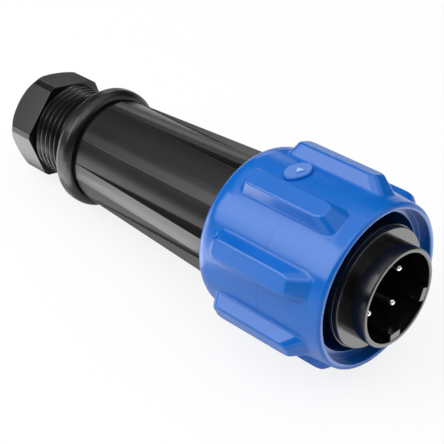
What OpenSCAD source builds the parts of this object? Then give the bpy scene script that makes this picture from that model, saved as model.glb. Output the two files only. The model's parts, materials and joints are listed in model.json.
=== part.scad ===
// In-line circular cable plug with a twist-lock coupling ring and a hexagon gland screw.
// Every piece is drawn about one axis: z = 0 is the ring's front edge, +z runs towards the pins.
// laid() then sets the plug down as it lies on a table, resting on two ring ribs and the collar.

/* [Nose and flange] */
// Outer diameter of the nose that enters the socket
nose_d = 20.5; // [19:0.1:23]
// Wall of the nose
nose_wall = 0.95; // [0.8:0.05:1.3]
// Length of the nose in front of the face seal
nose_len = 4.6; // [3.5:0.1:7]
// Chamfer round the rim of the nose
rim_chamfer = 0.25; // [0.1:0.05:0.4]
// Depth of the shroud from the rim to the insulator
shroud_depth = 12.8; // [11:0.1:16]
// How far the face seal stands in front of the ring's edge
seal_proud = 0.2; // [0:0.05:0.6]
// Thickness of the face seal
seal_t = 1.0; // [0.6:0.1:1.6]
// Thickness of the flange behind the face seal
flange_t = 2.0; // [1.4:0.1:3]
// Step from the tube of the grip out to the flange
flange_lip = 0.25; // [0.1:0.05:0.4]
// Wall of the spigot behind the flange
spigot_wall = 1.3; // [1.2:0.05:1.6]
// Width of a polarising key inside the nose
key_w = 3.0; // [2:0.1:4]
// Height of a polarising key above the shroud wall
key_h = 1.5; // [0.8:0.1:1.8]

/* [Contacts] */
// Diameter of a contact pin
pin_d = 1.5; // [1.2:0.1:1.9]
// Diameter of the circle that the pins stand on
pin_circle_d = 10.6; // [9.8:0.1:11]
// Angle of the first pin from the top
pin_phase = 32; // [0:1:60]
// How far the pin tips lie behind the rim
pin_setback = 3.2; // [2:0.1:6]
// Diameter of the wire barrel behind a pin
barrel_d = 4.2; // [3.8:0.1:4.6]
// Diameter of the hole for a wire
wire_d = 2.3; // [1.8:0.1:2.6]
// Diameter of a terminal screw
terminal_screw_d = 2.0; // [1.6:0.1:2.2]
// Length of the front insulator
front_insulator_len = 6.0; // [5:0.5:8]
// Length of the rear insulator
rear_insulator_len = 12.0; // [11:0.5:15]
// Length of the nut that clamps the insulators
carrier_nut_len = 3.0; // [2:0.5:4]

/* [Coupling ring] */
// Length of the coupling ring
ring_len = 33.2; // [30:0.1:38]
// Gap between the flange and the ring's bore
ring_gap = 1.65; // [1.5:0.05:2.4]
// Width of the shoulder inside the ring's mouth
ring_shoulder = 1.5; // [1:0.1:2]
// Depth of the ring's mouth
mouth_depth = 2.7; // [2:0.1:4]
// Wall of the ring at its mouth
ring_wall = 1.75; // [1.6:0.05:3]
// How much narrower the ring is at its front lip than at its middle
lip_taper = 0.45; // [0.3:0.05:0.8]
// Length over which the ring narrows to its lip
lip_len = 6.0; // [4:0.5:8]
// Rounding of the ring's rear shoulder
ring_round = 4.5; // [3:0.25:5]
// Length of the web that turns on the grip's tube
web_len = 9.0; // [6:0.5:10]
// Depth of the skirt behind the web
skirt_len = 2.2; // [1.5:0.1:3]
// Number of grip ribs
rib_count = 8; // [6:1:9]
// Height of a rib
rib_h = 2.65; // [1.8:0.05:3]
// Width of a rib along its top
rib_top_w = 4.0; // [3:0.1:4.5]
// Spread of a rib's side from top to foot
rib_flank = 1.1; // [0.8:0.1:1.6]
// Distance from the ring's edge to the front foot of a rib
rib_front = 3.4; // [2.8:0.1:5]
// Length of the ramp at the front of a rib
rib_ramp = 3.1; // [2.4:0.1:4.5]
// Distance from the ring's edge to the rear foot of a rib
rib_rear = 27.0; // [24:0.1:28]
// Length of the slope at the rear of a rib
rib_slope = 1.3; // [0.8:0.1:2]
// Corner cut at the ends of a rib's top
rib_corner = 1.2; // [0.6:0.1:1.4]
// Number of locking lugs inside the ring
lug_count = 3; // [2:1:4]
// Height of a locking lug
lug_h = 1.0; // [0.6:0.1:1.2]
// Width of a locking lug along the axis
lug_w = 2.6; // [2:0.1:3.5]
// Arc that a locking lug covers
lug_arc = 38; // [25:1:50]
// Distance from the ring's edge to the locking lugs
lug_depth = 8.5; // [7:0.5:10]

/* [Grip body] */
// Length of the ribbed grip behind the ring
grip_len = 43.6; // [38:0.1:52]
// Wall of the front tube that carries the ring
tube_wall = 1.35; // [1.2:0.05:1.8]
// Diameter of the grip between its lands, beside the ring
grip_d = 24.0; // [23.6:0.1:26]
// Wall of the grip
grip_wall = 1.5; // [1.3:0.05:2]
// Number of lands along the grip
land_count = 8; // [6:1:9]
// Width of a land
land_w = 3.8; // [3:0.1:5]
// Height of a land beside the ring
land_h = 2.25; // [1:0.05:2.5]
// Height of a land beside the collar
land_foot_h = 0.12; // [0.1:0.02:0.4]
// Angle of the first land from the top
land_phase = 41; // [0:1:45]
// Width of the groove in front of the collar
groove_w = 1.1; // [0.6:0.1:1.6]
// Depth of the groove in front of the collar
groove_h = 0.5; // [0.3:0.1:0.7]
// Width of the collar
collar_w = 4.5; // [4:0.05:6]
// Height of the collar above the grip
collar_h = 1.8; // [1.2:0.1:2.2]
// Rounding of the collar's edges
collar_round = 1.7; // [1:0.1:2]

/* [Gland] */
// Major diameter of the gland thread
thread_d = 21.0; // [19:0.1:21.4]
// Depth of the gland thread
thread_h = 0.75; // [0.6:0.05:0.9]
// Pitch of the gland thread
thread_pitch = 1.5; // [1:0.1:2]
// Turns from the rest place until the gland is tight
tighten_turns = 3; // [1:0.5:3]
// Thread that shows between the collar and the hexagon
exposed_len = 10.7; // [7:0.1:13]
// Thread that sits in the collar
engaged_len = 7.0; // [5:0.5:8]
// Step from the thread out to the flats of the hexagon
hex_step = 0.2; // [0.1:0.1:1.5]
// Length of the hexagon
hex_len = 8.4; // [7:0.1:12]
// Width of the flat on each corner of the hexagon
hex_corner_w = 1.4; // [0.8:0.1:2]
// Rounding of the hexagon's rear end
hex_round = 4.0; // [2:0.25:4.5]
// Angle of the first corner of the hexagon from the top
hex_phase = 16.5; // [0:0.5:59]
// Diameter of the cable entry
cable_d = 11.2; // [9:0.1:12]
// Depth of the gland bore from the collar's end
gland_depth = 20.0; // [18:0.5:24]
// Width of the ledge that the gland seal's washer rests on
seat_ledge = 0.85; // [0.6:0.05:1.2]
// Thickness of each gland washer
washer_t = 1.2; // [0.8:0.1:1.5]

/* [Clearances] */
// Radial play of the ring on its tube
run_play = 0.07; // [0.05:0.01:0.1]
// Play between pieces that fit into each other
fit_play = 0.05; // [0.03:0.01:0.08]
// Play along the axis between pieces that turn on each other
side_play = 0.15; // [0.1:0.05:0.3]
// Play between the gland thread and its bore
thread_play = 0.15; // [0.1:0.05:0.3]

/* [Hidden] */
$fn = 96;

// How far a cutting shape reaches past the face that it cuts
past = 1;
// How deep an added feature is rooted in the piece that it grows from
root = 0.4;

// Number of pins, each with a node of its own, and the angles of the polarising keys from the top
pin_count = 4;
key_angles = [176, 245];

// Shallow groove round the nose that the face seal snaps into
seal_snap = 0.3;

// Front stretch of the front insulator that reaches into the shroud
insulator_nose = 2.5;

// Groove of the shell's o-ring, counted back from the flange
o_ring_inset = 2.2;
o_ring_w = 0.8;
o_ring_groove_h = 0.6;

// Screw that draws the two insulators together, and the gap from its tip to the shroud
clamp_screw_d = 2.2;
clamp_head_d = 3.8;
clamp_head_h = 1.4;
clamp_tip_gap = 1.5;

// Stop of a contact, trapped between the two insulators
stop_d = 3.4;
stop_t = 1.4;

// Distance from the rear end of the insulator to the barrels and to the terminal screws
barrel_inset = 1.0;
terminal_inset = 4.0;

// Radii from the nose outwards
nose_r = nose_d / 2;
shroud_r = nose_r - nose_wall;
seat_step = 0.6;
shell_bore_r = shroud_r + seat_step;
spigot_r = shell_bore_r + spigot_wall;
tube_bore_r = spigot_r + fit_play;
tube_r = tube_bore_r + tube_wall;
flange_r = tube_r + flange_lip;
ring_bore_r = flange_r + ring_gap;
mouth_r = ring_bore_r + ring_shoulder;
ring_r = mouth_r + ring_wall;
rib_top_r = ring_r + rib_h;
web_r = tube_r + run_play;
floor_front_r = grip_d / 2;
cavity_r = floor_front_r - grip_wall;
land_front_r = floor_front_r + land_h;
skirt_gap = 0.5;
skirt_r = land_front_r + skirt_gap;
land_half_pitch = 180 / land_count;

// Radii of the gland
thread_r = thread_d / 2;
thread_root_r = thread_r - thread_h;
gland_bore_r = thread_r + thread_play;
gland_wall = 1.25;
grip_rear_r = gland_bore_r + gland_wall;
collar_r = grip_rear_r + collar_h;
hex_flat_r = thread_r + hex_step;
hex_corner_r = hex_flat_r / cos(30);
hex_corner_flat_r = hex_corner_r - hex_corner_w / 2 * tan(30);
cable_r = cable_d / 2;
cable_play = 0.2;

// Stations along the axis, from the front
seal_face_z = seal_proud;
flange_face_z = seal_face_z - seal_t;
tube_front_z = flange_face_z - flange_t;
rim_z = seal_face_z + nose_len;
floor_z = rim_z - shroud_depth;
insulator_joint_z = floor_z - front_insulator_len;
insulator_rear_z = insulator_joint_z - rear_insulator_len;
shell_rear_z = insulator_rear_z - carrier_nut_len;
web_rear_z = skirt_len - ring_len;
web_front_z = web_rear_z + web_len;
shoulder_z = web_rear_z - side_play;
cavity_front_z = min(shoulder_z, shell_rear_z - root);
grip_rear_z = shoulder_z - grip_len;
collar_front_z = grip_rear_z - groove_w;
body_rear_z = collar_front_z - collar_w;
seat_z = body_rear_z + gland_depth;

// Stations of the gland screw at rest
hex_front_z = body_rear_z - exposed_len;
hex_rear_z = hex_front_z - hex_len;
shank_front_z = body_rear_z + engaged_len;
washer_gap = 0.05;
thrust_rear_z = shank_front_z + washer_gap;
thrust_front_z = thrust_rear_z + washer_t;
tighten_travel = tighten_turns * thread_pitch;
seal_rear_z = thrust_front_z + tighten_travel + side_play;
seal_front_z = seat_z - washer_t;

// Spring and clip in front of the ring's web
spring_t = 0.4;
spring_h = 1.2;
clip_w = 1.2;
clip_groove_h = 0.6;
clip_h = 1.1;
spring_rear_z = web_front_z + side_play;
clip_rear_z = spring_rear_z + spring_h + fit_play;

// How the plug lies: the nearer corners of the two lowest ribs and the collar's rear edge meet the table
rib_half_pitch = 180 / rib_count;
rest_rib_z = rib_slope - rib_rear + rib_corner;
rest_rib_drop = rib_top_r * cos(rib_half_pitch) + rib_top_w / 2 * sin(rib_half_pitch);
rest_run = rest_rib_z - (body_rear_z + collar_round);
rest_rise = rest_rib_drop - (collar_r - collar_round);
lie_angle = atan2(rest_rise, rest_run) - asin(collar_round / norm([rest_run, rest_rise]));
axis_height = rest_rib_drop * cos(lie_angle) - rest_rib_z * sin(lie_angle);
front_reach = rim_z * cos(lie_angle) + (nose_r - rim_chamfer) * sin(lie_angle);
rear_reach = hex_rear_z * cos(lie_angle) - (hex_corner_r - hex_round) * sin(lie_angle);

// Colours
grip_black = [0.13, 0.13, 0.14];
shell_black = [0.05, 0.05, 0.06];
ring_blue = [0.10, 0.38, 0.82];
insulator_black = [0.09, 0.09, 0.10];
rubber_black = [0.07, 0.07, 0.07];
plated_silver = [0.85, 0.86, 0.88];
spring_steel = [0.62, 0.63, 0.65];

function pin_angle(index) = pin_phase + 360 / pin_count * index;

// Sets a piece that was drawn about the z axis down on the table, with its x side up.
module laid() {
    translate([-(front_reach + rear_reach) / 2, 0, axis_height])
        rotate([0, 90 - lie_angle, 0]) rotate([0, 0, 180]) children();
}

// Profile rectangle from one radius and station to another.
module band(r_in, r_out, z_rear, z_front) {
    translate([r_in, z_rear]) square([r_out - r_in, z_front - z_rear]);
}

// Waste outside a rounded corner; the material lies to the +x and +y of the corner.
module corner_waste(radius) {
    difference() {
        translate([-past, -past]) square(radius + past);
        translate([radius, radius]) circle(radius);
    }
}

// Corner waste on the outer front edge of a turned profile.
module front_edge_waste(radius, r, z) {
    translate([r, z]) rotate(180) corner_waste(radius);
}

// Corner waste on the outer rear edge of a turned profile.
module rear_edge_waste(radius, r, z) {
    translate([r, z]) rotate(90) corner_waste(radius);
}

module ring_of(count, phase) {
    for (index = [0 : count - 1]) rotate([0, 0, phase + 360 / count * index]) children();
}

// Outer half profile of the grip: front tube, tapering grip, groove and rounded collar.
module grip_outline() {
    difference() {
        union() {
            band(0, tube_r, shoulder_z - root, tube_front_z);
            polygon([[0, shoulder_z], [floor_front_r, shoulder_z],
                [grip_rear_r, grip_rear_z], [0, grip_rear_z]]);
            band(0, grip_rear_r - groove_h, collar_front_z - root, grip_rear_z + root);
            difference() {
                band(0, collar_r, body_rear_z, collar_front_z);
                front_edge_waste(collar_round, collar_r, collar_front_z);
                rear_edge_waste(collar_round, collar_r, body_rear_z);
            }
        }
        band(tube_r - clip_groove_h, tube_r + past, clip_rear_z - fit_play, clip_rear_z + clip_w + fit_play);
    }
}

// Inside of the grip: bore for the shell, wiring space, seal seat and gland bore.
module grip_hollow() {
    band(0, tube_bore_r, cavity_front_z, tube_front_z + past);
    polygon([[0, cavity_front_z + root], [cavity_r, cavity_front_z + root], [cavity_r, cavity_front_z],
        [gland_bore_r - seat_ledge, seat_z], [0, seat_z]]);
    band(0, gland_bore_r, body_rear_z - past, seat_z);
}

// Raised lands that grow from the collar towards the ring; the piece's seam runs midway between two of them.
module grip_lands() {
    intersection() {
        rotate_extrude() polygon([
            [floor_front_r - root, shoulder_z], [land_front_r, shoulder_z],
            [grip_rear_r + land_foot_h, grip_rear_z], [grip_rear_r - root, grip_rear_z]]);
        ring_of(land_count, land_half_pitch)
            translate([0, -land_w / 2, grip_rear_z]) cube([land_front_r + past, land_w, grip_len]);
    }
}

module grip_body() {
    color(grip_black) laid() rotate([0, 0, land_phase - land_half_pitch]) union() {
        rotate_extrude() difference() {
            grip_outline();
            grip_hollow();
        }
        grip_lands();
    }
}

// Half profile of the coupling ring with its mouth, shoulder, web and rear skirt.
module ring_profile() {
    lip_edge_share = 0.65;
    mouth_edge_share = 0.28;
    lip_r = ring_r - lip_taper;
    lip_edge = lip_edge_share * (lip_r - mouth_r);
    mouth_edge = mouth_edge_share * (lip_r - mouth_r);
    difference() {
        polygon([[web_r, -ring_len], [ring_r, -ring_len], [ring_r, -lip_len], [lip_r, 0], [web_r, 0]]);
        rear_edge_waste(ring_round, ring_r, -ring_len);
        front_edge_waste(lip_edge, lip_r, 0);
        translate([mouth_r, 0]) rotate(-90) corner_waste(mouth_edge);
        band(0, mouth_r, -mouth_depth, past);
        band(0, ring_bore_r, web_front_z, 0);
        band(0, skirt_r, -ring_len - past, web_rear_z);
    }
}

// One rib: where its side view, its cross-section and its two corner cuts overlap.
module rib() {
    foot = 1.5;
    foot_r = ring_r - foot;
    drop = rib_h + foot;
    flank_slant = rib_flank / rib_h;
    ramp_slant = rib_ramp / rib_h;
    slope_slant = rib_slope / rib_h;
    front_top_z = -rib_front - rib_ramp;
    rear_top_z = rib_slope - rib_rear;
    centre_z = (front_top_z + rear_top_z) / 2;
    corner_reach = ((front_top_z - rear_top_z) / 2 - rib_corner + rib_top_w / 2) / sqrt(2);
    wide = 3 * (rib_top_w + rib_flank);
    intersection() {
        rotate([90, 0, 0]) linear_extrude(wide, center = true) polygon([
            [foot_r, rear_top_z - slope_slant * drop], [rib_top_r, rear_top_z],
            [rib_top_r, front_top_z], [foot_r, front_top_z + ramp_slant * drop]]);
        translate([0, 0, -ring_len]) linear_extrude(ring_len) polygon([
            [foot_r, -rib_top_w / 2 - flank_slant * drop], [rib_top_r, -rib_top_w / 2],
            [rib_top_r, rib_top_w / 2], [foot_r, rib_top_w / 2 + flank_slant * drop]]);
        intersection_for (side = [-45, 45])
            translate([0, 0, centre_z]) rotate([side + 90, 0, 0]) linear_extrude(2 * ring_len, center = true)
                polygon([
                    [foot_r, -corner_reach - (flank_slant + slope_slant) * drop / sqrt(2)],
                    [rib_top_r, -corner_reach], [rib_top_r, corner_reach],
                    [foot_r, corner_reach + (flank_slant + ramp_slant) * drop / sqrt(2)]]);
    }
}

// Locking lug inside the ring, with its leading end cut to a ramp.
module lug() {
    ramp_angle = 12;
    lug_r = ring_bore_r - lug_h;
    difference() {
        rotate_extrude(angle = lug_arc)
            band(lug_r, ring_bore_r + root, -lug_depth - lug_w, -lug_depth);
        rotate([0, 0, lug_arc]) translate([lug_r - 2 * past, 0, -lug_depth - lug_w / 2])
            rotate([-ramp_angle, 0, 0]) translate([0, -ring_r, 0])
                cube([lug_h + root + 3 * past, 2 * ring_r, lug_w]);
    }
}

// Mark on top of the ring: a flat lens-shaped pad between two ribs that rises towards the front.
module ring_mark() {
    mark_w = 7.2;
    mark_len = 5.4;
    mark_rear = -23.0;
    mark_rise = 0.65;
    mark_front = mark_rear + mark_len;
    foot_r = ring_r - 2 * root;
    lens_r = (mark_w * mark_w / mark_len + mark_len) / 4;
    intersection() {
        rotate([90, 0, 0]) linear_extrude(mark_w, center = true) polygon([
            [foot_r, mark_rear], [ring_r, mark_rear], [ring_r + mark_rise, mark_front], [foot_r, mark_front]]);
        intersection_for (z = [mark_front - lens_r, mark_rear + lens_r])
            translate([0, 0, z]) rotate([0, 90, 0]) cylinder(r = lens_r, h = rib_top_r);
    }
}

module coupling_ring() {
    color(ring_blue) laid() union() {
        rotate_extrude() ring_profile();
        ring_of(rib_count, rib_half_pitch) rib();
        ring_of(lug_count, 0) lug();
        ring_mark();
    }
}

// Half profile of the front shell: nose, flange, spigot and the stepped bore.
module shell_profile() {
    o_ring_front_z = tube_front_z - o_ring_inset;
    step_z = floor_z - insulator_nose;
    difference() {
        union() {
            polygon([[0, seal_face_z], [nose_r, seal_face_z], [nose_r, rim_z - rim_chamfer],
                [nose_r - rim_chamfer, rim_z], [0, rim_z]]);
            band(0, nose_r - seal_snap, flange_face_z, seal_face_z);
            band(0, flange_r, tube_front_z, flange_face_z);
            band(0, spigot_r, shell_rear_z, tube_front_z);
        }
        band(0, shroud_r, step_z, rim_z + past);
        band(0, shell_bore_r, shell_rear_z - past, step_z);
        band(spigot_r - o_ring_groove_h, spigot_r + past, o_ring_front_z - o_ring_w, o_ring_front_z);
    }
}

module front_shell() {
    key_floor_gap = 0.5;
    key_setback = 0.1;
    color(shell_black) laid() union() {
        rotate_extrude() shell_profile();
        for (angle = key_angles) rotate([0, 0, angle])
            translate([shroud_r - key_h, -key_w / 2, floor_z + key_floor_gap])
                cube([key_h + nose_wall / 2, key_w, shroud_depth - key_floor_gap - key_setback]);
    }
}

module face_seal() {
    edge = 0.2;
    seal_in_r = nose_r - seal_snap + fit_play;
    seal_out_r = flange_r - flange_lip;
    color(rubber_black) laid() rotate_extrude() difference() {
        band(seal_in_r, seal_out_r, flange_face_z, seal_face_z);
        front_edge_waste(edge, seal_out_r, seal_face_z);
    }
}

module shell_o_ring() {
    groove_r = spigot_r - o_ring_groove_h;
    squeeze_gap = 0.02;
    cord_d = tube_bore_r - groove_r - 2 * squeeze_gap;
    color(rubber_black) laid() rotate_extrude()
        translate([groove_r + squeeze_gap + cord_d / 2, tube_front_z - o_ring_inset - o_ring_w / 2])
            circle(d = cord_d);
}

module front_insulator() {
    color(insulator_black) laid() difference() {
        union() {
            translate([0, 0, floor_z - insulator_nose])
                cylinder(r = shroud_r - fit_play, h = insulator_nose);
            translate([0, 0, insulator_joint_z])
                cylinder(r = shell_bore_r - fit_play, h = front_insulator_len - insulator_nose);
        }
        ring_of(pin_count, pin_phase) translate([pin_circle_d / 2, 0, insulator_joint_z - past]) {
            cylinder(d = pin_d + 2 * fit_play, h = front_insulator_len + 2 * past);
            cylinder(d = stop_d + 2 * fit_play, h = past + stop_t + fit_play);
        }
        translate([0, 0, insulator_joint_z - past])
            cylinder(d = clamp_screw_d + 2 * fit_play,
                h = past + front_insulator_len - clamp_tip_gap + fit_play);
    }
}

module rear_insulator() {
    driver_play = 0.4;
    access_d = terminal_screw_d + 2 * driver_play;
    color(insulator_black) laid() difference() {
        translate([0, 0, insulator_rear_z]) cylinder(r = shell_bore_r - fit_play, h = rear_insulator_len);
        ring_of(pin_count, pin_phase) {
            translate([pin_circle_d / 2, 0, insulator_rear_z - past])
                cylinder(d = barrel_d + 2 * fit_play, h = rear_insulator_len + 2 * past);
            translate([pin_circle_d / 2, 0, insulator_rear_z + terminal_inset]) rotate([0, 90, 0])
                cylinder(d = access_d, h = shell_bore_r);
        }
        translate([0, 0, insulator_rear_z - past]) {
            cylinder(d = clamp_screw_d + 2 * fit_play, h = rear_insulator_len + 2 * past);
            cylinder(d = clamp_head_d + 2 * fit_play, h = past + clamp_head_h);
        }
    }
}

// Slotted screw that draws the two insulators together, with its head at the back.
module insulator_screw() {
    slot_w = 0.6;
    slot_h = 0.7;
    head_z = insulator_rear_z;
    tip_z = floor_z - clamp_tip_gap;
    color(plated_silver) laid() difference() {
        union() {
            translate([0, 0, head_z]) cylinder(d = clamp_head_d, h = clamp_head_h);
            translate([0, 0, head_z]) cylinder(d = clamp_screw_d, h = tip_z - head_z);
        }
        translate([-clamp_head_d, -slot_w / 2, head_z - past])
            cube([2 * clamp_head_d, slot_w, past + slot_h]);
    }
}

// Contact: domed pin, trapped stop and a wire barrel with the hole for its terminal screw.
module contact(index) {
    wire_past_screw = 3.0;
    tip_z = rim_z - pin_setback;
    barrel_rear_z = insulator_rear_z + barrel_inset;
    wire_depth = terminal_inset - barrel_inset + terminal_screw_d / 2 + wire_past_screw;
    color(plated_silver) laid() rotate([0, 0, pin_angle(index)]) translate([pin_circle_d / 2, 0, 0])
        difference() {
            union() {
                translate([0, 0, insulator_joint_z])
                    cylinder(d = pin_d, h = tip_z - pin_d / 2 - insulator_joint_z);
                translate([0, 0, tip_z - pin_d / 2]) sphere(d = pin_d);
                translate([0, 0, insulator_joint_z]) cylinder(d = stop_d, h = stop_t);
                translate([0, 0, barrel_rear_z])
                    cylinder(d = barrel_d, h = insulator_joint_z - barrel_rear_z);
            }
            translate([0, 0, barrel_rear_z - past]) cylinder(d = wire_d, h = past + wire_depth);
            translate([0, 0, insulator_rear_z + terminal_inset]) rotate([0, 90, 0])
                cylinder(d = terminal_screw_d + 2 * fit_play, h = barrel_d);
        }
}

module contact_pin_1() { contact(0); }
module contact_pin_2() { contact(1); }
module contact_pin_3() { contact(2); }
module contact_pin_4() { contact(3); }

// Slotted grub screws, one in each wire barrel.
module terminal_screws() {
    slot_w = 0.4;
    slot_h = 0.5;
    screw_bite = 0.4;
    screw_proud = 0.3;
    screw_in = wire_d / 2 - screw_bite;
    screw_out = barrel_d / 2 + screw_proud;
    color(plated_silver) laid() ring_of(pin_count, pin_phase)
        translate([pin_circle_d / 2, 0, insulator_rear_z + terminal_inset]) rotate([0, 90, 0]) difference() {
            translate([0, 0, screw_in]) cylinder(d = terminal_screw_d, h = screw_out - screw_in);
            translate([-terminal_screw_d, -slot_w / 2, screw_out - slot_h])
                cube([2 * terminal_screw_d, slot_w, slot_h + past]);
        }
}

module carrier_nut() {
    nut_wall = 2.4;
    spanner_w = 2.0;
    spanner_h = 1.2;
    nut_r = shell_bore_r - fit_play;
    color(insulator_black) laid() difference() {
        translate([0, 0, shell_rear_z]) cylinder(r = nut_r, h = carrier_nut_len);
        translate([0, 0, shell_rear_z - past]) cylinder(r = nut_r - nut_wall, h = carrier_nut_len + 2 * past);
        translate([-2 * nut_r, -spanner_w / 2, shell_rear_z - past])
            cube([4 * nut_r, spanner_w, spanner_h + past]);
    }
}

// Dished spring washer that keeps the ring from rattling.
module spring_washer() {
    spring_in_play = 0.15;
    spring_out_play = 0.3;
    spring_in_r = tube_r + spring_in_play;
    spring_out_r = ring_bore_r - spring_out_play;
    color(spring_steel) laid() rotate_extrude() polygon([
        [spring_in_r, spring_rear_z + spring_h - spring_t], [spring_in_r, spring_rear_z + spring_h],
        [spring_out_r, spring_rear_z + spring_t], [spring_out_r, spring_rear_z]]);
}

// Open retaining clip in the groove of the tube.
module ring_clip() {
    clip_arc = 320;
    groove_r = tube_r - clip_groove_h;
    color(spring_steel) laid() rotate_extrude(angle = clip_arc)
        band(groove_r + fit_play, tube_r + clip_h, clip_rear_z, clip_rear_z + clip_w);
}

// Profile that bounds the hexagon: square at the front, domed at the rear.
module hex_bound() {
    difference() {
        band(0, hex_corner_r + root, hex_rear_z, hex_front_z);
        rear_edge_waste(hex_round, hex_corner_r, hex_rear_z);
    }
}

module gland_screw() {
    mouth_round = 1.2;
    tip_chamfer = 0.6;
    color(grip_black) laid() difference() {
        union() {
            intersection() {
                translate([0, 0, hex_rear_z]) rotate([0, 0, hex_phase])
                    cylinder(r = hex_corner_r, h = hex_len, $fn = 6);
                translate([0, 0, hex_rear_z]) rotate([0, 0, hex_phase + 30])
                    cylinder(r = hex_corner_flat_r / cos(30), h = hex_len, $fn = 6);
                rotate_extrude() hex_bound();
            }
            rotate_extrude() polygon([[0, hex_front_z - root], [thread_root_r, hex_front_z - root],
                [thread_root_r, shank_front_z - tip_chamfer], [thread_root_r - tip_chamfer, shank_front_z],
                [0, shank_front_z]]);
        }
        rotate_extrude() union() {
            band(0, cable_r, hex_rear_z - past, shank_front_z + past);
            translate([cable_r, hex_rear_z]) corner_waste(mouth_round);
        }
    }
}

module thrust_washer() {
    color(spring_steel) laid() translate([0, 0, thrust_rear_z]) difference() {
        cylinder(r = gland_bore_r - cable_play, h = washer_t);
        translate([0, 0, -past]) cylinder(r = cable_r + cable_play, h = washer_t + 2 * past);
    }
}

// Rubber bush that grips the cable, with a coned rear edge.
module gland_seal() {
    cone = 1.0;
    seal_r = gland_bore_r - fit_play;
    color(rubber_black) laid() rotate_extrude() polygon([
        [cable_r, seal_rear_z], [seal_r - cone, seal_rear_z], [seal_r, seal_rear_z + cone],
        [seal_r, seal_front_z], [cable_r, seal_front_z]]);
}

module seat_washer() {
    color(spring_steel) laid() translate([0, 0, seal_front_z]) difference() {
        cylinder(r = gland_bore_r - fit_play, h = washer_t);
        translate([0, 0, -past]) cylinder(r = cable_r + cable_play, h = washer_t + 2 * past);
    }
}

grip_body();
coupling_ring();
front_shell();
face_seal();
shell_o_ring();
front_insulator();
rear_insulator();
insulator_screw();
contact_pin_1();
contact_pin_2();
contact_pin_3();
contact_pin_4();
terminal_screws();
carrier_nut();
spring_washer();
ring_clip();
gland_screw();
thrust_washer();
gland_seal();
seat_washer();
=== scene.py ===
import json
from math import acos, atan2, cos, degrees, pi, radians, sin, sqrt, tan

import bmesh
import bpy
from mathutils import Matrix, Vector


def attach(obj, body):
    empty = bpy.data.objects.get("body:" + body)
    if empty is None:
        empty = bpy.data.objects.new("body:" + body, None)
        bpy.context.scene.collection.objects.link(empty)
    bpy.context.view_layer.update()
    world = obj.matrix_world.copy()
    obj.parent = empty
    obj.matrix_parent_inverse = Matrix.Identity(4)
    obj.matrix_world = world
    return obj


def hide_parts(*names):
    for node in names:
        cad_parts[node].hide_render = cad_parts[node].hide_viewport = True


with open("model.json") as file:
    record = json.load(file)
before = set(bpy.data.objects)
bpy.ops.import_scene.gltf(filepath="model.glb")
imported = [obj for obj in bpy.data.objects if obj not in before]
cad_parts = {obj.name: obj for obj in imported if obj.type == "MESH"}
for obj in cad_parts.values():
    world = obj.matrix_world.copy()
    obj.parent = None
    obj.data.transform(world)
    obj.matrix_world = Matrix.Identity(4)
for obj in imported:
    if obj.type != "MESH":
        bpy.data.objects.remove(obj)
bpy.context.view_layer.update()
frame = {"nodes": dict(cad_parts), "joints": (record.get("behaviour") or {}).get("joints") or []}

# Where the plug lies.
# It rests on two ribs of its ring and on the collar of its grip, so its axis rises towards the pins.
# Pieces are modelled upright, in millimetres: z is 0 at the ring's front edge and x is the side that is up.
MM = 0.001
hinge_station = -26.5
ring_hinge = next(joint for joint in frame["joints"] if joint["name"] == "ring_turn")
plug_axis = Vector(ring_hinge["axis"]).normalized()
ring_front = Vector(ring_hinge["pos_m"]) - plug_axis * hinge_station * MM
up_side = Vector((-plug_axis.z, 0, plug_axis.x))
near_side = plug_axis.cross(up_side)
turn_to_lie = Matrix((up_side, near_side, plug_axis)).transposed().to_4x4()
lie = Matrix.Translation(ring_front) @ turn_to_lie @ Matrix.Scale(MM, 4)


def alone(piece):
    """Selects one piece and nothing else."""
    bpy.ops.object.select_all(action="DESELECT")
    piece.select_set(True)
    bpy.context.view_layer.objects.active = piece


def lay(piece):
    """Sets a piece that was modelled upright down where the plug lies, with its place in its mesh."""
    alone(piece)
    piece.matrix_world = lie
    bpy.ops.object.transform_apply(location=True, rotation=True, scale=True)


# Contacts.
# Four turned brass pins with domed tips, plated with silver and trapped between the two insulators.
# A wire is held in the barrel behind each one by a slotted grub screw of plated steel.
class Strand:
    """One output of a shader node; sums of strands and numbers add Math nodes."""

    def __init__(self, tree, socket=None):
        self.tree = tree
        self.socket = socket

    def node(self, kind, sockets, output=0, **settings):
        """Adds a node: its settings first, then the values or links of its sockets."""
        made = self.tree.nodes.new("ShaderNode" + kind)
        for name, value in settings.items():
            setattr(made, name, value)
        for name, value in sockets.items():
            if isinstance(value, Strand):
                self.tree.links.new(value.socket, made.inputs[name])
            else:
                made.inputs[name].default_value = value
        return Strand(self.tree, made.outputs[output] if made.outputs else None)

    def __add__(self, other):
        return self.node("Math", {0: self, 1: other}, operation="ADD")

    def __sub__(self, other):
        return self.node("Math", {0: self, 1: other}, operation="SUBTRACT")

    def __rsub__(self, other):
        return self.node("Math", {0: other, 1: self}, operation="SUBTRACT")

    def __mul__(self, other):
        return self.node("Math", {0: self, 1: other}, operation="MULTIPLY")

    __radd__ = __add__
    __rmul__ = __mul__


def finish(name):
    """Starts a material and returns it with the strand of its Object coordinates."""
    made = bpy.data.materials.new(name)
    made.use_nodes = True
    made.node_tree.nodes.clear()
    return made, Strand(made.node_tree).node("TexCoord", {}, output="Object")


def surfaced(made, place, sockets):
    """Ends a material with one surface that has these values and links."""
    surface = place.node("BsdfPrincipled", sockets)
    place.node("OutputMaterial", {"Surface": surface})
    return made


tool_mark_size = 0.12
tool_mark_strength = 0.3
metal_gloss_spread = 0.16


def speckle(place, size, detail=2):
    """Noise whose spots are about so many millimetres across."""
    return place.node("TexNoise", {"Vector": place, "Scale": 1 / (size * MM), "Detail": detail})


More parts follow.
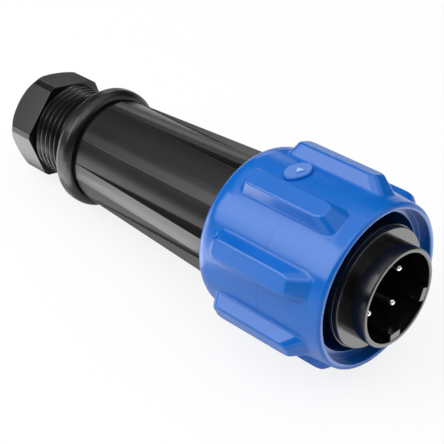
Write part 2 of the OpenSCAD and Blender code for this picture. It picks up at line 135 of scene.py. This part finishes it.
def blended(place, share, colour, other):
    """Colour that goes from one to another with a strand."""
    return place.node("Mix", {0: share, 6: (*colour, 1), 7: (*other, 1)}, output=2, data_type="RGBA")


def metal(name, bright, dull, roughness, cloud_size, scratch_depth):
    """Bare or plated metal: two shades of it in clouds, with the fine marks of the tool."""
    made, place = finish(name)
    cloud = speckle(place, cloud_size)
    marks = speckle(place, tool_mark_size)
    relief = place.node("Bump", {
        "Height": marks, "Strength": tool_mark_strength, "Distance": scratch_depth * MM})
    return surfaced(made, place, {
        "Base Color": blended(place, cloud, dull, bright), "Metallic": 1.0,
        "Roughness": cloud * metal_gloss_spread + (roughness - metal_gloss_spread / 2), "Normal": relief})


def dress(material, *names):
    """Gives CAD nodes that keep their own shape a material."""
    for name in names:
        slots = frame["nodes"][name].data.materials
        slots.clear()
        slots.append(material)


silver_plate = metal("silver_plate", (0.93, 0.92, 0.90), (0.80, 0.79, 0.77), 0.20, 1.5, 0.004)
zinc_plate = metal("zinc_plate", (0.78, 0.79, 0.81), (0.62, 0.63, 0.66), 0.32, 1.2, 0.008)
dress(silver_plate, *[f"contact_pin_{number}" for number in (1, 2, 3, 4)])
dress(zinc_plate, "terminal_screws")


# Insulators.
# Two black mouldings of filled nylon that hold the contacts between them. A slotted screw draws them
# together, and a ring nut clamps them in the shell.
seam_shade_strength = 0.35
seam_core = 0.05
seam_edge = 0.11
seam_rise = (0.05, 0.3)
mould_cloud_size = 9.0
grain_strength = 0.5
cloud_gloss = 0.08
grain_gloss = 0.06


def parting_line_shade(place, station, r):
    """Fine line of the mould round the plug at a station, on what lies no further out than a radius. The
    line is real; its darkness is painted shade of its fine step.
    """
    local = place.node("VectorMath", {0: place, 1: ring_front}, operation="SUBTRACT")
    along = place.node("VectorMath", {0: local, 1: plug_axis}, output="Value", operation="DOT_PRODUCT")
    swing = place.node("VectorMath", {0: local, 1: plug_axis}, operation="CROSS_PRODUCT")
    out = place.node("VectorMath", {0: swing}, output="Value", operation="LENGTH")
    off = place.node("Math", {0: along - station * MM}, operation="ABSOLUTE")
    line = place.node("MapRange", {
        "Value": off, "From Min": seam_core * MM, "From Max": seam_edge * MM,
        "To Min": seam_shade_strength, "To Max": 0.0})
    low = place.node("MapRange", {
        "Value": out, "From Min": (r + seam_rise[0]) * MM, "From Max": (r + seam_rise[1]) * MM,
        "To Min": 1.0, "To Max": 0.0})
    return line * low


def moulded(name, colour, clouded, roughness, grain_size, grain_depth, shaded_seam=None):
    """Moulded plastic or rubber: nearly even colour, with a gloss that the mould's grain breaks up."""
    made, place = finish(name)
    cloud = speckle(place, mould_cloud_size, 4)
    grain = speckle(place, grain_size, 3)
    relief = place.node("Bump", {"Height": grain, "Strength": grain_strength, "Distance": grain_depth * MM})
    tint = blended(place, cloud, colour, clouded)
    # The parting line is mixed towards black: painted shade standing for the shadow of its fine step.
    if shaded_seam:
        tint = place.node("Mix", {0: parting_line_shade(place, *shaded_seam), 6: tint, 7: (0, 0, 0, 1)}, output=2,
                          data_type="RGBA")
    even = roughness - (cloud_gloss + grain_gloss) / 2
    return surfaced(made, place, {
        "Base Color": tint, "Roughness": cloud * cloud_gloss + grain * grain_gloss + even,
        "Normal": relief})


insulator_black = moulded("insulator_black", (0.012, 0.012, 0.013), (0.018, 0.018, 0.019), 0.5, 0.4, 0.01)
dress(insulator_black, "front_insulator", "rear_insulator", "carrier_nut")
dress(zinc_plate, "insulator_screw")


# Front shell.
# Glossy black moulding: the nose with its two polarising keys, the flange that the face seal sits on, and
# the spigot that is pushed into the grip with an o-ring round it.
shroud_r = 9.3
nose_r = 10.25
rim = 4.8
shroud_floor = -10.5
shell_bore_r = 9.9
shell_rear = -29.0
spigot_r = 11.2
flange_r = 12.85
flange_faces = (-2.8, -0.8)
seal_face = 0.2
seal_groove_r = 9.95
o_ring_groove = (-5.8, -5.0)
o_ring_groove_r = 10.6
key_angles = (176, 245)
key_w = 3.0
key_in_r = 7.8
key_rear = -7.5
key_front = 4.7
key_round = 0.2
rim_rounds = (0.2, 0.3)
flange_round = 0.15
shell_rear_round = 0.2
weld_gap = 1e-4
sliver_size = 0.002
normal_weight = 80


def rounded(corners, arc_steps=6):
    """Outline points of a closed shape whose corners are (radius, station, rounding)."""
    points = []
    for index, (r, z, rounding) in enumerate(corners):
        here = Vector((r, z))
        if not rounding:
            points.append(here)
            continue
        before = (Vector(corners[index - 1][:2]) - here).normalized()
        after = (Vector(corners[(index + 1) % len(corners)][:2]) - here).normalized()
        half = before.angle(after) / 2
        centre = here + (before + after).normalized() * rounding / sin(half)
        start = (here + before * rounding / tan(half) - centre).normalized()
        end = (here + after * rounding / tan(half) - centre).normalized()
        points += [centre + start.slerp(end, step / arc_steps) * rounding
                   for step in range(arc_steps + 1)]
    return points


def begin(name, add, **sizes):
    """Adds a primitive with nothing else selected, names it and puts its place in its mesh."""
    bpy.ops.object.select_all(action="DESELECT")
    add(**sizes)
    bpy.ops.object.transform_apply(location=True, rotation=True, scale=True)
    piece = bpy.context.active_object
    piece.name = name
    return piece


def drawn(name, outline, closed=True):
    """Draws an outline in the x-z plane from one corner, by extruding it side by side."""
    piece = begin(name, bpy.ops.mesh.primitive_plane_add, size=1)
    bpy.ops.object.mode_set(mode="EDIT")
    bpy.ops.mesh.select_mode(type="VERT")
    bpy.ops.mesh.select_all(action="SELECT")
    bpy.ops.mesh.merge(type="CENTER")
    bpy.ops.transform.translate(value=(outline[0].x, 0, outline[0].y))
    onwards = outline[1:] + outline[:1] if closed else outline[1:]
    for here, there in zip(outline, onwards):
        step = (there.x - here.x, 0, there.y - here.y)
        bpy.ops.mesh.extrude_region_move(TRANSFORM_OT_translate={"value": step})
    welded()
    return piece


def welded():
    """In edit mode, merges points that coincide and turns all faces outwards."""
    bpy.ops.mesh.select_all(action="SELECT")
    bpy.ops.mesh.remove_doubles(threshold=weld_gap)
    bpy.ops.mesh.normals_make_consistent(inside=False)


def turned(name, outline, turns):
    """Spins a closed outline about z, in turns of (degrees, steps); an arc gets closed ends."""
    piece = drawn(name, outline)
    if sum(angle for angle, steps in turns) < 359:
        bpy.ops.mesh.edge_face_add()
    for angle, steps in turns:
        bpy.ops.mesh.spin(steps=steps, angle=radians(angle), center=(0, 0, 0), axis=(0, 0, 1))
    welded()
    bpy.ops.object.mode_set(mode="OBJECT")
    return piece


def applied(piece, kind, **settings):
    """Adds a modifier to a piece and applies it."""
    alone(piece)
    modifier = piece.modifiers.new(kind.lower(), kind)
    for name, value in settings.items():
        setattr(modifier, name, value)
    bpy.ops.object.modifier_apply(modifier=modifier.name)


def combine(piece, tool, operation):
    """Joins, cuts or trims a piece with a tool, and clears the tool and any slivers away."""
    applied(piece, "BOOLEAN", object=tool, operation=operation, solver="EXACT")
    bpy.data.objects.remove(tool)
    bpy.ops.object.mode_set(mode="EDIT")
    bpy.ops.mesh.select_all(action="SELECT")
    bpy.ops.mesh.dissolve_degenerate(threshold=sliver_size)
    welded()
    bpy.ops.object.mode_set(mode="OBJECT")


def smooth(piece, angle=35):
    """Shades a piece smooth up to so sharp an edge."""
    alone(piece)
    bpy.ops.object.shade_smooth_by_angle(angle=radians(angle))
    applied(piece, "WEIGHTED_NORMAL", keep_sharp=True, weight=normal_weight)


def fit(piece, body, node, material):
    """Lays a finished piece down, in place of its CAD node if it stands for one."""
    piece.data.materials.clear()
    piece.data.materials.append(material)
    lay(piece)
    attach(piece, body)
    if node:
        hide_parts(node)


whole_turn = ((360, 96),)
shell = turned("nose_shell", rounded([
    (shroud_r, shroud_floor, 0), (shroud_r, rim, rim_rounds[0]), (nose_r, rim, rim_rounds[1]),
    (nose_r, seal_face, 0), (seal_groove_r, seal_face, 0), (seal_groove_r, flange_faces[1], 0),
    (flange_r, flange_faces[1], flange_round), (flange_r, flange_faces[0], 0),
    (spigot_r, flange_faces[0], 0), (spigot_r, o_ring_groove[1], 0),
    (o_ring_groove_r, o_ring_groove[1], 0), (o_ring_groove_r, o_ring_groove[0], 0),
    (spigot_r, o_ring_groove[0], 0), (spigot_r, shell_rear, shell_rear_round),
    (shell_bore_r, shell_rear, shell_rear_round), (shell_bore_r, shroud_floor, 0)]), whole_turn)
for angle in key_angles:
    key = begin("key", bpy.ops.mesh.primitive_cube_add, size=1)
    key.scale = ((shroud_r + nose_r) / 2 - key_in_r, key_w, key_front - key_rear)
    key.location = ((shroud_r + nose_r) / 4 + key_in_r / 2, 0, (key_front + key_rear) / 2)
    bpy.ops.object.transform_apply(location=True, rotation=False, scale=True)
    key.rotation_euler = (0, 0, radians(angle))
    bpy.ops.object.transform_apply(location=False, rotation=True, scale=False)
    applied(key, "BEVEL", width=key_round, segments=3)
    combine(shell, key, "UNION")
smooth(shell)
shell_black = moulded("shell_black", (0.004, 0.004, 0.004), (0.006, 0.006, 0.006), 0.18, 0.6, 0.003)
fit(shell, "plug", "front_shell", shell_black)

# Face seal.
# Flat ring of black rubber round the foot of the nose, against the flange.
# It snaps into a shallow groove.
seal_in_r = 10.0
seal_out_r = 12.6
seal_in_round = 0.12
seal_out_round = 0.25
seal_foot_round = 0.1
seal = turned("face_seal_ring", rounded([
    (seal_in_r, flange_faces[1], 0), (seal_in_r, seal_face, seal_in_round),
    (seal_out_r, seal_face, seal_out_round), (seal_out_r, flange_faces[1], seal_foot_round)]), whole_turn)
smooth(seal)
rubber_black = moulded("rubber_black", (0.006, 0.006, 0.006), (0.009, 0.009, 0.008), 0.16, 0.5, 0.003)
fit(seal, "plug", "face_seal", rubber_black)
dress(rubber_black, "shell_o_ring")

# Grip body.
# One moulding in satin black plastic: a plain tube inside the ring, a tapering grip with eight raised
# lands that fade out towards the cable, a groove, and a rounded collar that takes the gland screw.
tube_r = 12.6
tube_bore_r = 11.25
tube_front = -2.8
clip_groove = (-20.65, -19.35)
clip_groove_r = 12.0
shoulder = -31.15
tube_root = -31.55
cavity_r = 10.5
floor_front_r = 12.0
land_front_r = 14.25
grip_rear = -74.75
grip_rear_r = 11.9
land_rear_r = 12.02
land_w = 3.8
land_count = 8
land_phase = 41
groove_r = 11.4
collar_front = -75.85
collar_r = 13.7
collar_round = 1.7
body_rear = -80.35
gland_bore_r = 10.65
seat = -60.35
seat_r = 9.8
tube_round = 0.2
gland_mouth_round = 0.3
land_round = 0.1
land_crease = 20
angle_slack = 0.1
station_slack = 0.1


def pick(piece, kind, wanted):
    """Enters edit mode with the points or edges selected that wanted() accepts."""
    alone(piece)
    bpy.ops.object.mode_set(mode="EDIT")
    bpy.ops.mesh.select_mode(type=kind)
    bpy.ops.mesh.select_all(action="DESELECT")
    mesh = bmesh.from_edit_mesh(piece.data)
    mesh.normal_update()
    for part in {"VERT": mesh.verts, "EDGE": mesh.edges, "FACE": mesh.faces}[kind]:
        part.select_set(wanted(part))
    bmesh.update_edit_mesh(piece.data)


def move(piece, wanted, out=1.0, along=0.0, turn=0.0):
    """Moves picked points out from the axis, along it and round it.

    With no window, rotate turns the other way.
    """
    pick(piece, "VERT", lambda point: wanted(point.co))
    bpy.ops.transform.resize(value=(out, out, 1), center_override=(0, 0, 0))
    bpy.ops.transform.translate(value=(0, 0, along))
    bpy.ops.transform.rotate(value=-radians(turn), orient_axis="Z", center_override=(0, 0, 0))
    bpy.ops.object.mode_set(mode="OBJECT")


def off_centre(place, count):
    """Angle of a place from the middle of the nearest of so many sectors, in degrees."""
    sector = 360 / count
    angle = degrees(place.xy.angle_signed(Vector((1, 0))))
    return (angle + sector / 2) % sector - sector / 2


def reach(place):
    """Distance of a place from the axis."""
    return place.xy.length


def near(value, other, slack=0.02):
    """Whether two sizes agree."""
    return abs(value - other) < slack


def soften(piece, wanted, width, steps=2):
    """Bevels the picked edges of a piece."""
    pick(piece, "EDGE", wanted)
    bpy.ops.mesh.bevel(offset=width, segments=steps, affect="EDGES")
    welded()
    bpy.ops.object.mode_set(mode="OBJECT")


def half_angle(width, r):
    """Half the angle that a flat width covers at a radius, in degrees."""
    return degrees(width / 2 / r)


land_top_half = half_angle(land_w, land_front_r)
land_foot_half = half_angle(land_w, floor_front_r)
land_rear_half = half_angle(land_w, grip_rear_r)
land_flank = land_foot_half - land_top_half
land_gap = 360 / land_count - 2 * land_foot_half
one_land = ((land_top_half, 2), (land_flank, 1), (land_gap, 6), (land_flank, 1), (land_top_half, 2))
grip = turned("grip_moulding", rounded([
    (tube_bore_r, tube_front, 0), (tube_r, tube_front, tube_round),
    (tube_r, clip_groove[1], 0), (clip_groove_r, clip_groove[1], 0),
    (clip_groove_r, clip_groove[0], 0), (tube_r, clip_groove[0], 0),
    (tube_r, tube_root, 0), (floor_front_r, tube_root, 0), (grip_rear_r, grip_rear, 0),
    (groove_r, grip_rear, 0), (groove_r, collar_front, 0),
    (collar_r, collar_front, collar_round), (collar_r, body_rear, collar_round),
    (gland_bore_r, body_rear, gland_mouth_round), (gland_bore_r, seat, 0), (seat_r, seat, 0),
    (cavity_r, shoulder, 0), (tube_bore_r, shoulder, 0)]), one_land * land_count)


def on_land(place, half):
    """Whether a place lies on a land of that half angle."""
    return abs(off_centre(place, land_count)) < half + angle_slack


def at_row(place, r, z):
    """Whether a place lies at a radius and station."""
    return near(reach(place), r) and near(place.z, z)


for side in (-1, 1):
    for start, end in ((land_top_half, land_rear_half - angle_slack), (land_foot_half, land_rear_half)):
        move(grip, lambda place: at_row(place, grip_rear_r, grip_rear)
             and near(off_centre(place, land_count), side * start, angle_slack), turn=side * (end - start))
for r, front_r in ((tube_r, tube_r), (floor_front_r, land_front_r)):
    move(grip, lambda place: at_row(place, r, tube_root) and on_land(place, land_top_half),
         out=front_r / r, along=shoulder - tube_root)
move(grip, lambda place: at_row(place, grip_rear_r, grip_rear)
     and on_land(place, land_rear_half - angle_slack), out=land_rear_r / grip_rear_r)


def land_edge(edge):
    """Whether an edge runs along the side of a land."""
    lowest_r = floor_front_r - 1.3
    ends = [end.co for end in edge.verts]
    return (all(shoulder + station_slack > end.z > grip_rear - station_slack for end in ends)
            and all(reach(end) > lowest_r for end in ends)
            and abs(ends[0].z - ends[1].z) > 1 and edge.calc_face_angle(0) > radians(land_crease))


soften(grip, land_edge, land_round)
alone(grip)
grip.rotation_euler = (0, 0, radians(land_phase))
bpy.ops.object.transform_apply(location=False, rotation=True, scale=False)
smooth(grip, 30)
grip_black = moulded("grip_black", (0.004, 0.004, 0.004), (0.007, 0.007, 0.007), 0.30, 0.35, 0.010)
fit(grip, "plug", "grip_body", grip_black)

# Spring and clip.
# A dished washer of spring steel keeps the ring from rattling, and an open clip in the groove of the tube
# holds both on.
spring_steel = metal("spring_steel", (0.60, 0.60, 0.62), (0.48, 0.48, 0.50), 0.30, 3.0, 0.006)
dress(spring_steel, "spring_washer", "ring_clip")

# Coupling ring.
# Satin blue moulding that turns on the tube of the grip. Eight ribs give the hand its hold, three lugs
# inside the bore lock it to the socket, and a sloping pad carries a plain triangle.
web_r = 12.67
web_faces = (-31.0, -22.0)
ring_bore_r = 14.5
mouth_r = 16.0
mouth_floor = -2.7
lip_r = 17.3
lip_round = 0.845
mouth_round = 0.364
taper_rear = -6.0
ring_r = 17.75
ring_rear = -33.2
ring_round = 4.5
skirt_r = 14.75
skirt_edge = 0.25
rib_count = 8
rib_top_r = 20.4
rib_top_w = 4.0
rib_flank = 1.1
rib_foot = (-27.0, -3.4)
rib_top = (-25.7, -6.5)
rib_corner = 1.4
rib_round = 0.4
rib_crease = 18
rib_step = 0.5
taper_top_setback = 2.0
web_round = 0.3
mouth_floor_round = 0.15
seam_station = -15.2
lug_r = 13.5
lug_root = 0.4
lug_round = 0.2
lug_faces = (-11.1, -8.5)
lug_arc = 38
lug_ramp = 12
lug_turns = (0, 120, 240)
pad_w = 7.2
pad_ends = (-23.0, -17.6)
pad_rise = 0.65
pad_depth = 2.0
pad_round = 0.35
pad_crease = 60
triangle_r = 1.1
triangle_h = 0.2
triangle_round = 0.06
triangle_station = -19.9

rear_centre = ring_rear + ring_round
rear_sweep = acos((skirt_r + skirt_edge - ring_r + ring_round) / ring_round)
rear_corner = rear_centre - ring_round * tan(rear_sweep / 2)
rear_edge = rear_centre - ring_round * sin(rear_sweep)
foot_front_r = lip_r + (ring_r - lip_r) * rib_foot[1] / taper_rear
rib_top_half = half_angle(rib_top_w, rib_top_r)
rib_foot_half = half_angle(rib_top_w + 2 * rib_flank, ring_r)
rib_gap = 360 / rib_count - 2 * rib_foot_half
ring = turned("ring_moulding", rounded([
    (web_r, web_faces[1], web_round), (ring_bore_r, web_faces[1], web_round),
    (ring_bore_r, mouth_floor, mouth_floor_round), (mouth_r, mouth_floor, mouth_floor_round),
    (mouth_r, 0, mouth_round), (lip_r, 0, lip_round),
    (foot_front_r, rib_foot[1], 0), (ring_r, taper_rear, 0), (ring_r, rib_foot[0], 0),
    (ring_r, rear_corner, ring_round), (skirt_r + skirt_edge, rear_edge, 0),
    (skirt_r, rear_edge + skirt_edge, 0), (skirt_r, web_faces[0], web_round),
    (web_r, web_faces[0], web_round)]), ((rib_foot_half, 2), (rib_gap, 6), (rib_foot_half, 2)) * rib_count)


def on_rib_foot(face):
    """Whether a face of the plain ring is one that a rib grows from."""
    middle = face.calc_center_median()
    return (rib_foot[0] < middle.z < rib_foot[1] and reach(middle) > foot_front_r - 0.3
            and abs(off_centre(middle, rib_count)) < rib_foot_half)


def raised(place):
    """Whether a place lies on the top of a rib."""
    return reach(place) > ring_r + rib_step


rise = rib_top_r / ring_r
pick(ring, "FACE", on_rib_foot)
bpy.ops.mesh.extrude_region_move()
bpy.ops.transform.resize(value=(rise, rise, 1), center_override=(0, 0, 0))
bpy.ops.object.mode_set(mode="OBJECT")
front_rise = rib_top_r / (foot_front_r * rise)
move(ring, lambda place: raised(place) and near(place.z, rib_foot[1]),
     out=front_rise, along=rib_top[1] - rib_foot[1])
move(ring, lambda place: raised(place) and near(place.z, taper_rear),
     along=rib_top[1] - taper_rear - taper_top_setback)
move(ring, lambda place: raised(place) and near(place.z, rib_foot[0]), along=rib_top[0] - rib_foot[0])
for share in (-1, -0.5, 0.5, 1):
    move(ring, lambda place: raised(place)
         and near(off_centre(place, rib_count), share * rib_foot_half, angle_slack),
         out=1 / cos(radians(share * rib_top_half)), turn=share * (rib_top_half - rib_foot_half))


def rib_corner_edge(edge):
    """Whether an edge climbs a corner of a rib."""
    low, high = sorted([end.co for end in edge.verts], key=reach)
    return (raised(high) and not raised(low)
            and near(abs(off_centre(high, rib_count)), rib_top_half, angle_slack)
            and any(near(high.z, station) for station in rib_top)
            and near(abs(off_centre(low, rib_count)), rib_foot_half, angle_slack))


def rib_outline_edge(edge):
    """Whether an edge bounds the top or the foot of a rib."""
    ends = [end.co for end in edge.verts]
    return (all(reach(end) > foot_front_r - station_slack for end in ends)
            and all(rib_foot[0] - station_slack < end.z < rib_foot[1] + station_slack for end in ends)
            and edge.calc_face_angle(0) > radians(rib_crease))


soften(ring, rib_corner_edge, rib_corner, 4)
soften(ring, rib_outline_edge, rib_round, 4)
alone(ring)
ring.rotation_euler = (0, 0, radians(180 / rib_count))
bpy.ops.object.transform_apply(location=False, rotation=True, scale=False)


def sliced(piece, point, normal):
    """Cuts off what lies in front of a plane and closes the cut."""
    pick(piece, "FACE", lambda face: True)
    bpy.ops.mesh.bisect(plane_co=point, plane_no=normal, use_fill=True, clear_outer=True)
    welded()
    bpy.ops.object.mode_set(mode="OBJECT")


lug_end = Vector((cos(radians(lug_arc)), sin(radians(lug_arc)), 0))
onwards = Vector((-lug_end.y, lug_end.x, 0))
uphill = onwards * sin(radians(lug_ramp)) + Vector((0, 0, cos(radians(lug_ramp))))
for turn in lug_turns:
    lug = turned("lug", rounded([
        (lug_r, lug_faces[0], lug_round), (ring_bore_r + lug_root, lug_faces[0], 0),
        (ring_bore_r + lug_root, lug_faces[1], 0), (lug_r, lug_faces[1], lug_round)], 2), ((lug_arc, 12),))
    sliced(lug, lug_end * lug_r + Vector((0, 0, sum(lug_faces) / 2)), uphill)
    lug.rotation_euler = (0, 0, radians(turn))
    combine(ring, lug, "UNION")

pad_len = pad_ends[1] - pad_ends[0]
pad_slope = atan2(pad_rise, pad_len)
lens_r = (pad_w ** 2 / pad_len + pad_len) / 4
pad, lens = [
    begin("pad", bpy.ops.mesh.primitive_cylinder_add, vertices=96, radius=lens_r, depth=pad_depth,
          location=(ring_r, 0, station), rotation=(0, pi / 2, 0))
    for station in (pad_ends[1] - lens_r, pad_ends[0] + lens_r)]
combine(pad, lens, "INTERSECT")
sliced(pad, (ring_r, 0, pad_ends[0]), (cos(pad_slope), 0, -sin(pad_slope)))
soften(pad, lambda edge: edge.calc_face_angle(0) > radians(pad_crease)
       and edge.verts[0].co.x > ring_r - 0.01, pad_round, 4)
pad_top = ring_r + (triangle_station - pad_ends[0]) * tan(pad_slope)
triangle = begin("ring_mark", bpy.ops.mesh.primitive_cylinder_add, vertices=3, radius=triangle_r,
                 depth=2 * triangle_h, rotation=(0, pi / 2 + pad_slope, 0),
                 location=(pad_top, 0, triangle_station))
soften(triangle, lambda edge: True, triangle_round)
combine(ring, pad, "UNION")
smooth(ring, 40)
# The ring's parting line is a real line, darkened here with painted shade.
ring_blue = moulded("ring_blue", (0.001, 0.130, 0.54), (0.002, 0.145, 0.60), 0.25, 0.4, 0.006,
                    shaded_seam=(seam_station, ring_r))
fit(ring, "ring", "coupling_ring", ring_blue)
# The triangle's paler blue is painted highlight: it stands for the light that its raised face catches.
mark_highlight_blue = moulded("mark_highlight_blue", (0.22, 0.46, 0.86), (0.24, 0.48, 0.88), 0.24, 0.4, 0.004)
fit(triangle, "ring", None, mark_highlight_blue)

# Gland.
# A hollow screw in black plastic with a hexagon head and a moulded thread. It squeezes a rubber bush
# between two steel washers, and the bush grips the cable.
hex_ends = (-99.45, -91.05)
hex_flat_r = 10.7
hex_phase = 16.5
hex_band_w = 1.4
hex_round = 4.0
hex_edge = 0.12
hex_crease = 20
thread_r = 10.5
thread_root_r = 9.75
thread_pitch = 1.5
thread_turns = 14
thread_chain = ((0, thread_root_r), (0.384, thread_root_r), (0.817, thread_r), (1.067, thread_r),
                (thread_pitch, thread_root_r))
shank_front = -73.35
shank_root = 0.4
tip_chamfer = 1.35
cable_r = 5.6
cable_mouth = 1.2


def rod(name, r, ends, sides=96, turn=0):
    """A solid cylinder or prism along the axis between two stations."""
    return begin(name, bpy.ops.mesh.primitive_cylinder_add, vertices=sides, radius=r,
                 depth=ends[1] - ends[0], location=(0, 0, sum(ends) / 2), rotation=(0, 0, radians(turn)))


def on_end(edge, station):
    """Whether an edge lies in the end face at a station."""
    return all(near(end.co.z, station) for end in edge.verts)


hex_corner_r = hex_flat_r / cos(radians(30))
gland = rod("gland_moulding", hex_corner_r, hex_ends, 6, hex_phase - 30)
soften(gland, lambda edge: not on_end(edge, hex_ends[0]) and not on_end(edge, hex_ends[1]),
       hex_band_w / sqrt(3), 1)
soften(gland, lambda edge: edge.calc_face_angle(0) > radians(hex_crease), hex_edge)
dome = rod("dome", hex_corner_r, (hex_ends[0], hex_ends[1] + 1))
soften(dome, lambda edge: on_end(edge, hex_ends[0]), hex_round, 10)
combine(gland, dome, "INTERSECT")

thread_rear = hex_ends[1] - shank_root
thread_foot = thread_rear - thread_pitch
thread = drawn("thread", [Vector((r, thread_foot + rise)) for rise, r in thread_chain], closed=False)
bpy.ops.object.mode_set(mode="OBJECT")
applied(thread, "SCREW", screw_offset=thread_pitch, iterations=thread_turns, steps=48,
        use_merge_vertices=True)
sliced(thread, (0, 0, shank_front), (0, 0, 1))
sliced(thread, (0, 0, thread_rear), (0, 0, -1))
tip = rod("tip", thread_r + 0.05, (thread_rear - 1, shank_front))
soften(tip, lambda edge: on_end(edge, shank_front), tip_chamfer, 1)
combine(thread, tip, "INTERSECT")
combine(gland, thread, "UNION")
combine(gland, rod("bore", cable_r, (hex_ends[0] - 1, shank_front + 1)), "DIFFERENCE")
soften(gland, lambda edge: on_end(edge, hex_ends[0])
       and all(near(reach(end.co), cable_r) for end in edge.verts), cable_mouth, 5)
smooth(gland)
gland_black = moulded("gland_black", (0.005, 0.005, 0.005), (0.008, 0.008, 0.008), 0.24, 0.4, 0.004)
fit(gland, "gland", "gland_screw", gland_black)
dress(rubber_black, "gland_seal")
dress(spring_steel, "thrust_washer", "seat_washer")

# Camera.
# It looks down on the plug from the front and the near side: led round towards the pins, turned round the
# axis from the top, and slanted so that the plug runs across the frame.
frame_px = 444
focal_px = 1300
lead = radians(36.494)
around = radians(44.667)
slant = radians(27.898)
ring_front_right = 29.7
ring_front_down = 12.52
ring_front_away = 245.8
near_clip = 0.01
ahead = -sin(lead) * plug_axis - cos(lead) * (cos(around) * up_side + sin(around) * near_side)
across = (plug_axis - ahead * plug_axis.dot(ahead)).normalized()
right = cos(slant) * across + sin(slant) * across.cross(ahead)
above = right.cross(ahead)
camera = bpy.data.objects.new("camera", bpy.data.cameras.new("camera"))
bpy.context.scene.collection.objects.link(camera)
camera.data.lens = camera.data.sensor_width * focal_px / frame_px
camera.data.clip_start = near_clip
camera.rotation_mode = "QUATERNION"
camera.rotation_quaternion = Matrix((right, above, -ahead)).transposed().to_quaternion()
sight = ring_front_right * right - ring_front_down * above + ring_front_away * ahead
camera.location = ring_front - sight * MM
bpy.context.scene.camera = camera

# Studio.
# A white table under soft boxes and a white ceiling, in a dark room. Panels on the table light up the gloss.
# The camera sees the table paler than its lamps leave it, so that only a faint shadow stays.
table_size = 4
table_colour = (0.95, 0.95, 0.95, 1)
panel_lift = 0.6
ceiling_edge = (0.6, 0.8)
ceiling_level = 1.1


def seen_by(place, **shares):
    """What share of a white background the rays of each kind see."""
    return sum(share * place.node("LightPath", {}, output=f"Is {way} Ray")
               for way, share in shares.items())


floor = begin("floor", bpy.ops.mesh.primitive_plane_add, size=table_size)
white_table, place = finish("white_table")
seen = seen_by(place, Camera=0.85, Glossy=0.1, Transmission=0.85)
lit_table = place.node("BsdfDiffuse", {"Color": table_colour})
white = place.node("Emission", {"Color": (1, 1, 1, 1), "Strength": 1})
place.node("OutputMaterial", {"Surface": place.node("MixShader", {0: seen, 1: lit_table, 2: white})})
floor.data.materials.append(white_table)


def soft_box(name, towards, away, width, height, level):
    """A soft lamp in a direction from the plug, aimed at it. Its level is its brightness: white is 1."""
    lamp = bpy.data.lights.new(name, "AREA")
    lamp.shape = "RECTANGLE"
    lamp.size = width
    lamp.size_y = height
    lamp.energy = 4 * level * width * height
    stand = bpy.data.objects.new(name, lamp)
    bpy.context.scene.collection.objects.link(stand)
    stand.location = ring_front + Vector(towards).normalized() * away
    stand.rotation_euler = Vector(towards).to_track_quat("Z", "Y").to_euler()
    stand.visible_camera = False
    return stand


soft_box("key_box", (-0.53, -0.65, 0.60), 0.8, 0.55, 0.45, 3.0)
soft_box("top_box", (0.15, -0.35, 0.95), 0.9, 0.8, 0.6, 1.0)
soft_box("front_box", (0.70, 0.60, 0.40), 0.8, 0.5, 0.4, 0.9)
soft_box("rear_box", (-0.72, 0.62, 0.28), 0.8, 0.2, 0.1, 2.5)
for name, x, y, width, height, level in (
        ("gland_panel", -134, -88, 184, 156, 1.2), ("grip_panel", -22, -60, 40, 80, 2.6),
        ("front_panel", 95, 30, 80, 85, 1.6)):
    panel = soft_box(name, (0, 0, -1), 0, width * MM, height * MM, level)
    panel.location = (x * MM, y * MM, panel_lift * MM)
    panel.visible_diffuse = False
world = bpy.data.worlds.new("studio")
world.use_nodes = True
world.node_tree.nodes.clear()
sky = Strand(world.node_tree).node("TexCoord", {}, output="Generated")
upward = sky.node("SeparateXYZ", {0: sky}, output="Z")
ceiling = sky.node("MapRange", {
    "Value": upward, "From Min": ceiling_edge[0], "From Max": ceiling_edge[1],
    "To Min": 0.0, "To Max": ceiling_level})
glow = ceiling + seen_by(sky, Camera=1.0, Glossy=0.03, Transmission=1.0) * (1 - ceiling)
sky.node("OutputWorld", {"Surface": sky.node("Background", {"Color": (1, 1, 1, 1), "Strength": glow})})
bpy.context.scene.world = world
bpy.context.scene.view_settings.view_transform = "Standard"
